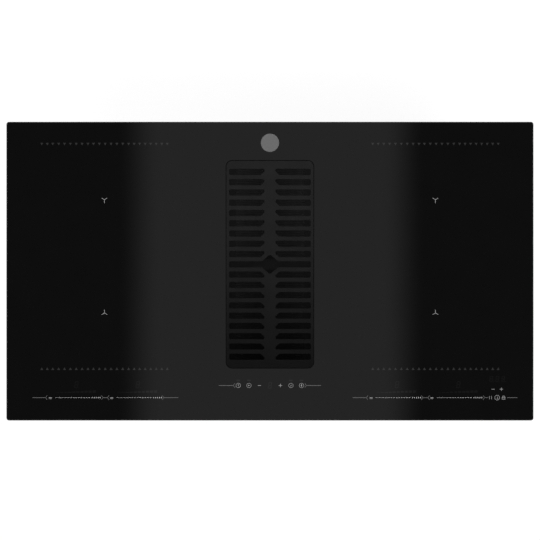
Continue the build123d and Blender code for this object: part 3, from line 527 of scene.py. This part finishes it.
def addModifier(piece, kind, **settings):
    bpy.ops.object.select_all(action="DESELECT")
    piece.select_set(True)
    bpy.context.view_layer.objects.active = piece
    modifier = piece.modifiers.new(kind.lower(), kind)
    for name, value in settings.items():
        setattr(modifier, name, value)
    bpy.ops.object.modifier_apply(modifier=modifier.name)


# a row has close and wide steps, and the left rows are copies of the right ones, not mirror images
triangleRows = {
    "firstX": 175.5, "steps": ((2, 9.43), (6, 10.0), (1, 9.43), (6, 10.0), (7, 9.43)),
    "leftwards": 565.1, "rearY": 217.7, "frontY": -167.2, "base": 5.0, "ink": "#2b2b2b",
    "roughness": 0.1,
}


def makeTriangleRows():
    row = startDrawing("triangle_rows")
    places = [triangleRows["firstX"]]
    for count, step in triangleRows["steps"]:
        for _ in range(count):
            places.append(places[-1] + step)
    for y, turn in ((triangleRows["rearY"], math.pi), (triangleRows["frontY"], 0)):
        for x in places:
            bpy.ops.mesh.primitive_circle_add(
                vertices=3, radius=triangleRows["base"] / math.sqrt(3) * mm, fill_type="NGON",
                location=onGlass(x, y), rotation=(0, 0, turn),
            )
    ink = printMaterial("fired dark grey ink", triangleRows["ink"], triangleRows["roughness"])
    finishDrawing(row, ink)
    addModifier(
        row, "ARRAY", count=2, use_relative_offset=False, use_constant_offset=True,
        constant_offset_displace=(-triangleRows["leftwards"] * mm, 0, 0),
    )


zoneMarks = {
    "x": 282.6, "rearY": 122.1, "frontY": -71.4, "arm": 5.55, "line": 0.6, "ink": "#a0a0a0",
}


def makeZoneMarks():
    # a small triangle, with an arm drawn out of each of its sides
    marks = startDrawing("zone_marks")
    side = zoneMarks["line"]
    apothem = side / (2 * math.sqrt(3))
    for y, turn in ((zoneMarks["rearY"], 0), (zoneMarks["frontY"], math.pi)):
        centre = Vector((zoneMarks["x"], y))
        for third in range(3):
            bpy.ops.mesh.select_all(action="DESELECT")
            if third == 0:
                bpy.ops.mesh.primitive_circle_add(
                    vertices=3, radius=side / math.sqrt(3) * mm, fill_type="NGON",
                    location=onGlass(zoneMarks["x"], y), rotation=(0, 0, turn),
                )
            angle = turn - math.pi / 2 + third * math.tau / 3
            out = Vector((math.cos(angle), math.sin(angle), 0))

            def onThisSide(p):
                away = p.xy - centre
                return abs(away.dot(out.xy) - apothem) < hair and away.length < side

            bpy.ops.mesh.select_all(action="SELECT")
            keepPoints(marks, onThisSide)
            bpy.ops.mesh.extrude_edges_move(
                TRANSFORM_OT_translate={"value": out * (zoneMarks["arm"] - apothem) * mm}
            )
    finishDrawing(marks, printMaterial("fired light grey ink", zoneMarks["ink"]))
    addModifier(marks, "MIRROR", use_axis=(True, False, False), use_mirror_merge=False)


controls = {
    "rowY": -215.95, "timerY": -201.55, "middleY": -195.2, "line": 0.75, "lineInk": "#636363",
    "signInk": "#8a8a8a", "signLine": 0.78, "ringDiameter": 8.2, "ringLine": 0.55,
}
# a slider's dashes grow shorter and taller to the right, in three runs placed from the last dash
dashRuns = (
    {"first": -74.5, "pitch": 5.12, "count": 5, "long": 4.45, "tall": (0.23, 0.29)},
    {"first": -49.5, "pitch": 4.39, "count": 8, "long": 2.7, "tall": (0.38, 0.5)},
    {"first": -13.66, "pitch": 3.415, "count": 5, "long": 0.9, "tall": (1.55, 2.1)},
)
dashInk = "#cccccc"
dashCorner = 0.2
# where each slider has its left arrow, pan sign, level bars, last dash and right arrow
sliders = (
    {"leftArrow": -383.4, "sign": -374.9, "bars": -365.0, "lastDash": -289.9, "rightArrow": -284.8},
    {"leftArrow": -277.7, "sign": -270.2, "bars": -260.3, "lastDash": -185.1, "rightArrow": -180.9},
    {"leftArrow": 164.3, "sign": 172.7, "bars": 181.9, "lastDash": 257.1, "rightArrow": 261.6},
    {"leftArrow": 269.5, "sign": 276.4, "bars": 286.7, "lastDash": 361.9, "rightArrow": 366.9},
)
rowLines = (
    (-405.4, -382.8), (-285.6, -277.6), (-181.4, -156.3), (141.3, 164.6), (261.0, 269.5),
    (366.2, 372.3), (405.3, 422.3),
)
middleLines = (
    {"from": -87.2, "to": -63.3, "arrow": -62.9, "opens": 1},
    {"from": 63.0, "to": 87.3, "arrow": 62.6, "opens": -1},
)


def makeControlLines():
    lines = startDrawing("control_lines")
    y = controls["rowY"]
    for start, end in rowLines:
        drawPatch((start + end) / 2, y, end - start, controls["line"])
    for slider in sliders:
        drawArrow(lines, slider["leftArrow"], y, 1)
        drawArrow(lines, slider["rightArrow"], y, -1)
    for line in middleLines:
        middle, length = (line["from"] + line["to"]) / 2, line["to"] - line["from"]
        drawPatch(middle, controls["middleY"], length, controls["line"])
        drawArrow(lines, line["arrow"], controls["middleY"], line["opens"])
    finishDrawing(lines, printMaterial("fired grey ink", controls["lineInk"]))


def makeSliders():
    dashes = startDrawing("slider_dashes")
    for slider in sliders:
        for run in dashRuns:
            low, high = run["tall"]
            for i in range(run["count"]):
                x = slider["lastDash"] + run["first"] + i * run["pitch"]
                tall = low + (high - low) * i / (run["count"] - 1)
                corner = min(run["long"], tall) * dashCorner
                drawPatch(x, controls["rowY"], run["long"], tall, corner)
    finishDrawing(dashes, printMaterial("fired silver-grey ink", dashInk))


# a pan seen from the side, with a heat line under it
panSign = {
    "drop": 0.25, "size": (4.9, 1.3), "corner": 0.25, "heatDrop": 1.95, "heatSize": (4.6, 0.45),
}


def drawArch(drawing, x, y, diameter, line):
    # the upper half of a ring
    drawRing(x, y, diameter, line, sides=24)
    bpy.ops.mesh.select_linked()
    keepPoints(drawing, lambda p: p.y < y - hair)
    bpy.ops.mesh.delete(type="VERT")


def drawPlus(drawing, x, y, size, line):
    # a small square, with an arm drawn out of each side
    drawPatch(x, y, line, line)
    arm = (size - line) / 2
    for dx, dy in ((1, 0), (0, 1), (-1, 0), (0, -1)):

        def onThisSide(p):
            right, up = p.x - x, p.y - y
            inSquare = max(abs(right), abs(up)) < line / 2 + hair
            return inSquare and right * dx + up * dy > line / 2 - hair

        bpy.ops.mesh.select_all(action="SELECT")
        keepPoints(drawing, onThisSide)
        bpy.ops.mesh.extrude_edges_move(
            TRANSFORM_OT_translate={"value": (dx * arm * mm, dy * arm * mm, 0)}
        )


pauseSign = {"x": (374.9, 378.3), "size": (0.65, 5.3)}
powerSign = {
    "x": 387.9, "diameter": 8.8, "line": 0.62,
    "strokeX": 388.4, "strokeDrop": 0.6, "strokeSize": (0.8, 4.9),
}
lockSign = {
    "x": 398.9, "archRise": 1.15, "archDiameter": 4.4, "archLine": 0.65,
    "bodyDrop": 0.9, "bodySize": (5.7, 4.1), "bodyLine": 0.85,
}
minusSigns = (
    {"x": 381.0, "row": "timerY", "size": 5.3}, {"x": -18.0, "row": "middleY", "size": 5.4},
)
plusSigns = (
    {"x": 395.3, "row": "timerY", "size": 5.4}, {"x": 17.9, "row": "middleY", "size": 5.6},
)
# the middle group's rings hold a clock, a start sign, two strokes and a half-filled round
ringPlaces = (-54.1, -35.9, 35.8, 53.9)
clockRing, startRing, strokesRing, halfRing = ringPlaces
# strokes in the rings, from and to measured from the ring's middle
ringStrokes = (
    {"ring": clockRing, "from": (0, -0.5), "to": (0, 2.4), "width": 0.9},
    {"ring": clockRing, "from": (0.4, -0.7), "to": (1.5, -1.6), "width": 0.5},
    {"ring": strokesRing, "from": (-1.3, -1.2), "to": (0.3, 1.3), "width": 0.45},
    {"ring": strokesRing, "from": (0.3, -1.4), "to": (1.6, 0.5), "width": 0.45},
)
startSign = {"radius": 1.6, "left": 0.3}
halfSign = {"left": 0.1, "up": 0.2, "size": (1.6, 3.9), "corner": 0.6}


def drawLock(drawing, y):
    x = lockSign["x"]
    drawArch(
        drawing, x, y + lockSign["archRise"], lockSign["archDiameter"], lockSign["archLine"]
    )
    drawFrame(x, y - lockSign["bodyDrop"], *lockSign["bodySize"], lockSign["bodyLine"])


def makeSigns():
    signs = startDrawing("control_signs")
    rowY, middleY = controls["rowY"], controls["middleY"]
    for slider in sliders:
        x = slider["sign"]
        drawPatch(x, rowY - panSign["drop"], *panSign["size"], panSign["corner"])
        drawPatch(x, rowY - panSign["heatDrop"], *panSign["heatSize"])
    for x in pauseSign["x"]:
        drawPatch(x, rowY, *pauseSign["size"])
    drawRing(powerSign["x"], rowY, powerSign["diameter"], powerSign["line"])
    drawPatch(powerSign["strokeX"], rowY - powerSign["strokeDrop"], *powerSign["strokeSize"])
    drawLock(signs, rowY)
    for sign in minusSigns:
        drawPatch(sign["x"], controls[sign["row"]], sign["size"], controls["signLine"])
    for sign in plusSigns:
        drawPlus(signs, sign["x"], controls[sign["row"]], sign["size"], controls["signLine"])
    for x in ringPlaces:
        drawRing(x, middleY, controls["ringDiameter"], controls["ringLine"])
    for stroke in ringStrokes:
        start, end = (
            (stroke["ring"] + across, middleY + up) for across, up in (stroke["from"], stroke["to"])
        )
        drawStroke(start, end, stroke["width"])
    bpy.ops.mesh.primitive_circle_add(
        vertices=3, radius=startSign["radius"] * mm, fill_type="NGON",
        location=onGlass(startRing - startSign["left"], middleY), rotation=(0, 0, -math.pi / 2),
    )
    drawPatch(
        halfRing - halfSign["left"], middleY + halfSign["up"], *halfSign["size"],
        halfSign["corner"],
    )
    finishDrawing(signs, printMaterial("fired silver ink", controls["signInk"]))


digitLook = {
    "slant": math.radians(8), "bar": 1.2, "gap": 0.35, "rounding": 0.36,
    "dotAway": 1.4, "dotSize": 1.3, "dotCorner": 0.4,
    "lens": "#0f0f0f", "roughness": 0.03, "ior": 1.62,
}
# the digits above the sliders, the timer's three and the middle one
digitGroups = (
    {"x": (-330.5, -225.6, 217.0, 321.8), "y": -193.8, "height": 11.7, "width": 6.2, "dot": True},
    {"x": (377.8, 388.0, 398.2), "y": -184.0, "height": 10.4, "width": 5.6, "dot": True},
    {"x": (0.0,), "y": -195.0, "height": 11.2, "width": 6.0, "dot": False},
)


def drawDigit(x, group):
    # seven unlit bars of an 8, leaning to the right
    bar, gap, rounding = digitLook["bar"], digitLook["gap"], digitLook["rounding"]
    lean = math.tan(digitLook["slant"])
    half = (group["height"] - bar) / 2
    reach = (group["width"] - bar) / 2

    def leaning(across, up):
        return x + across + up * lean, group["y"] + up

    for level in (-half, 0, half):
        drawStroke(leaning(gap - reach, level), leaning(reach - gap, level), bar, rounding)
    for side in (-reach, reach):
        for low, high in ((-half, 0), (0, half)):
            drawStroke(leaning(side, low + gap), leaning(side, high - gap), bar, rounding)
    if group["dot"]:
        dotX = x + group["width"] / 2 + digitLook["dotAway"]
        dotSize = digitLook["dotSize"]
        drawPatch(dotX, group["y"] - half, dotSize, dotSize, digitLook["dotCorner"])


levelBars = {
    "count": 10, "pitch": 6.9, "width": 5.6, "low": 0.6, "high": 4.4, "baseY": -207.7,
}
keyLights = {"y": -186.6, "size": (6.0, 2.6)}


def makeUnlitDisplay():
    unlit = startDrawing("unlit_display")
    for group in digitGroups:
        for x in group["x"]:
            drawDigit(x, group)
    grow = (levelBars["high"] - levelBars["low"]) / (levelBars["count"] - 1)
    for slider in sliders:
        for i in range(levelBars["count"]):
            height = levelBars["low"] + grow * i
            x = slider["bars"] + levelBars["width"] / 2 + i * levelBars["pitch"]
            drawPatch(x, levelBars["baseY"] + height / 2, levelBars["width"], height)
    for x in ringPlaces:
        drawPatch(x, keyLights["y"], *keyLights["size"])
    # the clear windows have a denser glaze than the glass, so they shine a little more
    glaze = printMaterial(
        "unlit display window", digitLook["lens"], digitLook["roughness"], digitLook["ior"]
    )
    finishDrawing(unlit, glaze, printLayer["unlit"])


makeTriangleRows()
makeZoneMarks()
makeControlLines()
makeSliders()
makeSigns()
makeUnlitDisplay()
print("marks on the glass drawn")


disc = {
    "y": 219.2, "radius": 15.5, "height": 0.35, "edge": 0.12, "rim": 1.6, "stepWidth": 0.15,
    "step": 0.12, "shade": ("#646464", "#7a7a7a"), "ring": 0.5, "ringDepth": 0.01,
    "roughness": 0.42, "metallic": 0.3, "sides": 96, "smoothBelow": math.radians(35),
}


def satinAluminium():
    # turned aluminium under matt lacquer: fine rings about the disc's centre, soft in the light
    material, tree, shader, place = startMaterial(
        "satin lacquered aluminium", disc["roughness"], disc["metallic"]
    )
    shift = {"Vector": place, "Location": (0, -disc["y"] * mm, 0)}
    centred = addNode(tree, "ShaderNodeMapping", shift).outputs["Vector"]
    rings = waves(tree, centred, disc["ring"], wave_type="RINGS", rings_direction="Z")
    colourBy(tree, shader, rings, *disc["shade"])
    relief(tree, shader, rings, disc["ringDepth"])
    return material


def makeDisc():
    centre = (0, disc["y"] * mm, glassTop + (disc["height"] / 2 - printLayer["sunk"]) * mm)
    bpy.ops.object.select_all(action="DESELECT")
    bpy.ops.mesh.primitive_cylinder_add(
        vertices=disc["sides"], radius=disc["radius"] * mm, depth=disc["height"] * mm,
        location=centre,
    )
    plate = bpy.context.active_object
    plate.name = "blank_disc"
    bpy.ops.object.transform_apply(location=True, rotation=True, scale=True)
    bpy.ops.object.mode_set(mode="EDIT")
    keepPoints(plate, lambda p: p.z > centre[2] / mm)
    bpy.ops.mesh.bevel(offset=disc["edge"] * mm, segments=3, affect="EDGES")
    bpy.ops.mesh.select_all(action="SELECT")
    faceZ = centre[2] / mm + disc["height"] / 2
    keepPoints(plate, lambda p: p.z > faceZ - hair)
    bpy.ops.mesh.inset(thickness=disc["rim"] * mm)
    bpy.ops.mesh.inset(thickness=disc["stepWidth"] * mm, depth=-disc["step"] * mm)
    bpy.ops.object.mode_set(mode="OBJECT")
    bpy.ops.object.shade_smooth_by_angle(angle=disc["smoothBelow"])
    dress(plate, satinAluminium())
    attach(plate, "chassis")


makeDisc()
print("disc made")


# the filter's two walls are expanded sheet, slit and stretched into diamonds; here are the X and Z
# of a wall's outer top and foot, and the Y of its ends
meshWall = {
    "outerTop": (62.6, -14.0), "outerFoot": (14.0, -158.0), "thick": 3.0, "ends": (-153.8, 177.2),
    "cellsUp": 37.5, "cellsAlong": 40.5, "strand": 1.1,
}


def makeMeshWalls():
    topX, topZ = meshWall["outerTop"]
    footX, footZ = meshWall["outerFoot"]
    front, back = meshWall["ends"]
    rise = Vector((topX - footX, 0, topZ - footZ))
    short = rise.length / meshWall["cellsUp"]
    long = (back - front) / meshWall["cellsAlong"]
    cells = 2 * math.ceil((meshWall["cellsUp"] + meshWall["cellsAlong"]) / 2)
    bpy.ops.object.select_all(action="DESELECT")
    bpy.ops.mesh.primitive_grid_add(x_subdivisions=cells, y_subdivisions=cells, size=cells)
    wall = bpy.context.active_object
    wall.name = "expanded_mesh"
    bpy.ops.object.mode_set(mode="EDIT")
    bpy.ops.mesh.select_all(action="SELECT")
    # square cells stood on their corners, then pulled out to diamonds
    bpy.ops.transform.rotate(value=math.pi / 4, orient_axis="Z", center_override=(0, 0, 0))
    side = math.sqrt(2)
    bpy.ops.transform.resize(
        value=(short / side * mm, long / side * mm, 1), center_override=(0, 0, 0)
    )
    for edge, facing in ((rise.length / 2, (1, 0, 0)), ((back - front) / 2, (0, 1, 0))):
        for way in (1, -1):
            normal = Vector(facing) * way
            bpy.ops.mesh.select_all(action="SELECT")
            bpy.ops.mesh.bisect(plane_co=normal * edge * mm, plane_no=normal, clear_outer=True)
    bpy.ops.object.mode_set(mode="OBJECT")
    addModifier(wall, "WIREFRAME", thickness=meshWall["strand"] * mm, use_boundary=True)
    wall.rotation_euler = (0, -math.atan2(rise.z, rise.x), 0)
    middle = ((topX + footX - meshWall["thick"]) / 2, (front + back) / 2, (topZ + footZ) / 2)
    wall.location = Vector(middle) * mm
    bpy.ops.object.transform_apply(location=True, rotation=True, scale=True)
    addModifier(wall, "MIRROR", use_axis=(True, False, False), use_mirror_merge=False)
    bpy.ops.object.mode_set(mode="EDIT")
    bpy.ops.mesh.select_all(action="SELECT")
    bpy.ops.mesh.normals_make_consistent(inside=False)
    bpy.ops.object.mode_set(mode="OBJECT")
    dress(wall, finishes["coated_mesh"])
    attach(wall, "filter")
    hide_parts("filter_meshes")
    return wall


meshWalls = makeMeshWalls()
print("filter mesh stretched,", len(meshWalls.data.polygons), "faces")


floorSpot = {
    "z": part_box("plenum_base")[0].z, "size": 40, "paint": "#808080", "roughness": 0.9,
    "glow": 0.85, "bounce": 0.45,
}
# the card has a bright middle band and a dark field that turns pale far away from the object
ceilingCard = {
    "x": 0.0037, "z": 3.0, "size": 20.0, "band": 0.378, "field": 0.048,
    "bandFullTo": 0.2487, "bandGoneBy": 0.3467, "paleFrom": 3.0, "paleBy": 9.5,
}


def seenNotLighting(tree):
    # 1 for rays that look at a thing or mirror it, and 0 for rays that it lights others by
    rays = addNode(tree, "ShaderNodeLightPath").outputs
    seen = maths(tree, "MAXIMUM", rays["Is Camera Ray"], rays["Is Glossy Ray"])
    return maths(tree, "MAXIMUM", seen, rays["Is Transmission Ray"])


def glowWhite(tree, shader, strength):
    shader.inputs["Emission Color"].default_value = (1, 1, 1, 1)
    tree.links.new(strength, shader.inputs["Emission Strength"])


def makeFloor():
    bpy.ops.object.select_all(action="DESELECT")
    bpy.ops.mesh.primitive_plane_add(size=floorSpot["size"], location=(0, 0, floorSpot["z"]))
    floor = bpy.context.active_object
    floor.name = "floor"
    material, tree, shader, _ = startMaterial("pale floor", floorSpot["roughness"])
    shader.inputs["Base Color"].default_value = fromHex(floorSpot["paint"])
    glow = between(tree, seenNotLighting(tree), floorSpot["bounce"], floorSpot["glow"])
    glowWhite(tree, shader, glow)
    # from below the floor is clear, so that the underside can be looked at
    below = addNode(tree, "ShaderNodeNewGeometry").outputs["Backfacing"]
    clear = addNode(tree, "ShaderNodeBsdfTransparent").outputs[0]
    both = addNode(tree, "ShaderNodeMixShader", {0: below, 1: shader.outputs[0], 2: clear})
    tree.links.new(both.outputs[0], tree.nodes["Material Output"].inputs["Surface"])
    dress(floor, material)


def makeCeilingCard():
    # a dim card that only gloss sees: bright down the middle, dark at the sides
    bpy.ops.object.select_all(action="DESELECT")
    bpy.ops.mesh.primitive_plane_add(
        size=ceilingCard["size"], location=(ceilingCard["x"], 0, ceilingCard["z"]),
        rotation=(math.pi, 0, 0),
    )
    card = bpy.context.active_object
    card.name = "ceiling_card"
    material, tree, shader, place = startMaterial("lit studio card", 1.0)
    shader.inputs["Base Color"].default_value = (0, 0, 0, 1)
    shader.inputs["Specular IOR Level"].default_value = 0
    axes = addNode(tree, "ShaderNodeSeparateXYZ", {"Vector": place})
    across = maths(tree, "ABSOLUTE", axes.outputs["X"])
    band = between(
        tree, across, ceilingCard["band"], ceilingCard["field"],
        ceilingCard["bandFullTo"], ceilingCard["bandGoneBy"], "SMOOTHSTEP",
    )
    away = addNode(tree, "ShaderNodeVectorMath", {0: place}, operation="LENGTH").outputs["Value"]
    pale = between(
        tree, away, 0.0, 1.0, ceilingCard["paleFrom"], ceilingCard["paleBy"], "SMOOTHSTEP"
    )
    glowWhite(tree, shader, maths(tree, "MAXIMUM", band, pale))
    dress(card, material)
    card.visible_camera = False
    card.visible_diffuse = False
    card.visible_transmission = False
    card.visible_shadow = False


def aimLamp(lamp, place, aim=(0, 0, 0)):
    lamp.rotation_euler = (Vector(aim) - Vector(place)).to_track_quat("-Z", "Y").to_euler()
    lamp.visible_camera = False
    lamp.visible_glossy = False


# soft lamps all round; the polished glass mirrors the pale room and the card instead of them
lampPlan = {
    "key_lamp": {"place": (-2.6, -2.2, 3.2), "size": (2.0, 2.0), "watts": 110},
    "fill_lamp": {"place": (2.8, -1.6, 2.6), "size": (2.0, 2.0), "watts": 60},
    "back_lamp": {"place": (0.6, 3.0, 2.6), "size": (2.0, 1.2), "watts": 60},
}
# the air inlet has a soft spot of its own instead, aimed at its rear, so that it fades to the front
inletSpot = {
    "place": (0, 0.012, 1.5), "aim": (0, 0.36, 0), "reach": 0.59, "watts": 182, "radius": 0.1,
}
barsAndGrip = [nodes["air_grille"], nodes["filter_handle"]]
underBars = [nodes["filter_frame"], nodes["air_well"], meshWalls]
inletPieces = barsAndGrip + underBars


def groupPieces(name, pieces, use="INCLUDE"):
    group = bpy.data.collections.new(name)
    for piece in pieces:
        group.objects.link(piece)
    for member in group.collection_objects:
        member.light_linking.link_state = use
    return group


def makeLamps():
    others = groupPieces("all but the air inlet", inletPieces, "EXCLUDE")
    for name, plan in lampPlan.items():
        bpy.ops.object.light_add(type="AREA", location=plan["place"])
        lamp = bpy.context.active_object
        lamp.name = name
        lamp.data.shape = "RECTANGLE"
        lamp.data.size, lamp.data.size_y = plan["size"]
        lamp.data.energy = plan["watts"]
        lamp.light_linking.receiver_collection = others
        aimLamp(lamp, plan["place"])
    bpy.ops.object.light_add(type="SPOT", location=inletSpot["place"])
    spot = bpy.context.active_object
    spot.name = "inlet_spot"
    spot.data.energy = inletSpot["watts"]
    spot.data.shadow_soft_size = inletSpot["radius"]
    spot.data.spot_size = 2 * math.atan(inletSpot["reach"] / inletSpot["place"][2])
    spot.data.spot_blend = 1.0
    aimLamp(spot, inletSpot["place"], inletSpot["aim"])
    spot.light_linking.receiver_collection = groupPieces("air inlet", inletPieces)
    # the bars and the grip throw no hard shadow on what lies under them
    spot.light_linking.blocker_collection = groupPieces("under the bars", underBars)


worldLight = {"ambient": 0.45}


def makeWorld():
    world = bpy.data.worlds.new("studio")
    bpy.context.scene.world = world
    world.use_nodes = True
    tree = world.node_tree
    strength = between(tree, seenNotLighting(tree), worldLight["ambient"], 1.0)
    tree.nodes["Background"].inputs["Color"].default_value = (1, 1, 1, 1)
    tree.links.new(strength, tree.nodes["Background"].inputs["Strength"])


makeFloor()
makeCeilingCard()
makeLamps()
makeWorld()
print("floor, card, lamps and world set")
